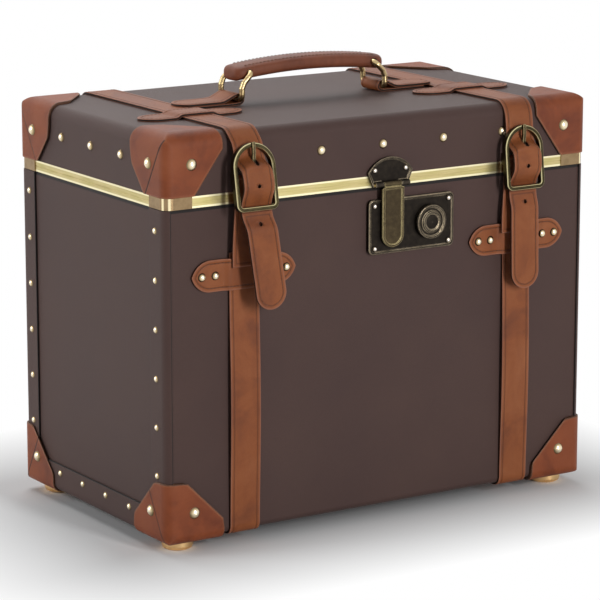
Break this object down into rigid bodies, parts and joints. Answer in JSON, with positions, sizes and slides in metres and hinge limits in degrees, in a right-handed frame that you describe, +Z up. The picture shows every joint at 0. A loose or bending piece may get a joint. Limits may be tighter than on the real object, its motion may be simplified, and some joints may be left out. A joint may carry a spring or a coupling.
{
  "type": "vanity case",
  "caption": "Upright covered case with a hinged lid, buckled leather straps, leather corners, a brass rim strip, a hasp lock and a top handle on rings.",
  "frame": {"origin": "middle of the whole case on the floor under its feet", "axes": "+X along the width to the right of the front, -Y out of the front with the lock, +Z up"},
  "size_m": [0.3908, 0.2494, 0.3484],
  "materials": {
    "cover": "fine grained, satin",
    "tan_leather": "smooth, lightly waxed",
    "brass": "polished",
    "pale_brass": "satin",
    "clip_brass": "polished, darker",
    "antique_brass": "antiqued, worn bright at the edges",
    "lining": "woven",
    "tray_board": "fabric covered board",
    "wood": "satin",
    "mirror": "silvered"
  },
  "bodies": {
    "base": {"base_shell": "cover", "base_lining": "lining", "base_lip": "lining", "end_binding_left": "cover", "end_binding_right": "cover", "binding_studs": "brass", "bottom_corners": "tan_leather", "bottom_corner_studs": "brass", "feet": "brass", "body_strap_left": "tan_leather", "body_strap_right": "tan_leather", "keeper_left": "tan_leather", "keeper_right": "tan_leather", "keeper_studs": "brass", "lock_plate": "antique_brass", "lock_rivets": "brass", "hinge_base_leaves": "brass", "hinge_base_rivets": "brass", "hinge_pins": "brass", "tray_ledges": "wood"},
    "lock_slide": {"lock_button": "antique_brass", "lock_bolt": "brass"},
    "tray": {"tray": "tray_board", "tray_pulls": "tan_leather"},
    "lid": {"lid_shell": "cover", "lid_lining": "lining", "valance_front": "pale_brass", "valance_rear": "pale_brass", "valance_ends": "pale_brass", "valance_corners": "clip_brass", "lid_studs": "brass", "top_corners": "tan_leather", "top_corner_studs": "brass", "lid_strap_left": "tan_leather", "lid_strap_right": "tan_leather", "top_keeper_left": "tan_leather", "top_keeper_right": "tan_leather", "handle_chape_left": "tan_leather", "handle_chape_right": "tan_leather", "mirror_frame": "wood", "mirror_glass": "mirror", "hinge_lid_leaves": "brass", "hinge_lid_rivets": "brass", "hasp_plate": "antique_brass", "hasp_rivets": "brass", "hasp_pin": "brass"},
    "hasp": {"hasp": "antique_brass"},
    "ring_left": {"ring_left": "brass"},
    "grip": {"handle_grip": "tan_leather"},
    "ring_right": {"ring_right": "brass"},
    "flap_left": {"front_strap_left": "tan_leather", "buckle_left": "antique_brass", "prong_left": "antique_brass", "chape_left": "tan_leather"},
    "tail_left": {"tail_left": "tan_leather"},
    "flap_right": {"front_strap_right": "tan_leather", "buckle_right": "antique_brass", "prong_right": "antique_brass", "chape_right": "tan_leather"},
    "tail_right": {"tail_right": "tan_leather"}
  },
  "joints": [
    {"name": "lid_hinge", "type": "hinge", "parent": "base", "child": "lid", "pos_m": [0, 0.12215, 0.26], "axis": [-1, 0, 0], "range_deg": [0, 100]},
    {"name": "lock_slide", "type": "slide", "parent": "base", "child": "lock_slide", "axis": [1, 0, 0], "range_m": [0, 0.004], "stiffness_N_per_m": 150},
    {"name": "tray_lift", "type": "slide", "parent": "base", "child": "tray", "axis": [0, 0, 1], "range_m": [0, 0.02]},
    {"name": "hasp_swing", "type": "hinge", "parent": "lid", "child": "hasp", "pos_m": [0.005, -0.10835, 0.2625], "axis": [-1, 0, 0], "range_deg": [0, 110]},
    {"name": "handle_swing", "type": "hinge", "parent": "lid", "child": "ring_left", "pos_m": [-0.066, 0.00735, 0.3194], "axis": [0, 1, 0], "range_deg": [-20, 20]},
    {"name": "grip_pivot", "type": "hinge", "parent": "ring_left", "child": "grip", "pos_m": [-0.057, 0.00735, 0.3394], "axis": [0, 1, 0], "range_deg": [-23.5, 23.5]},
    {"name": "ring_right_swing", "type": "hinge", "parent": "lid", "child": "ring_right", "pos_m": [0.066, 0.00735, 0.3194], "axis": [0, 1, 0], "range_deg": [-20.5, 20.5]},
    {"name": "strap_left_lift", "type": "hinge", "parent": "lid", "child": "flap_left", "pos_m": [-0.1245, -0.102, 0.31275], "axis": [-1, 0, 0], "range_deg": [0, 90]},
    {"name": "tail_left_lift", "type": "hinge", "parent": "flap_left", "child": "tail_left", "pos_m": [-0.1245, -0.11793, 0.2542], "axis": [-1, 0, 0], "range_deg": [0, 60]},
    {"name": "strap_right_lift", "type": "hinge", "parent": "lid", "child": "flap_right", "pos_m": [0.1245, -0.102, 0.31275], "axis": [-1, 0, 0], "range_deg": [0, 90]},
    {"name": "tail_right_lift", "type": "hinge", "parent": "flap_right", "child": "tail_right", "pos_m": [0.1245, -0.11265, 0.24547], "axis": [-1, 0, 0], "range_deg": [0, 60]}
  ],
  "couplings": [
    {"joint": "grip_pivot", "follows": "handle_swing", "ratio": -1.154},
    {"joint": "ring_right_swing", "follows": "handle_swing", "ratio": 1}
  ]
}
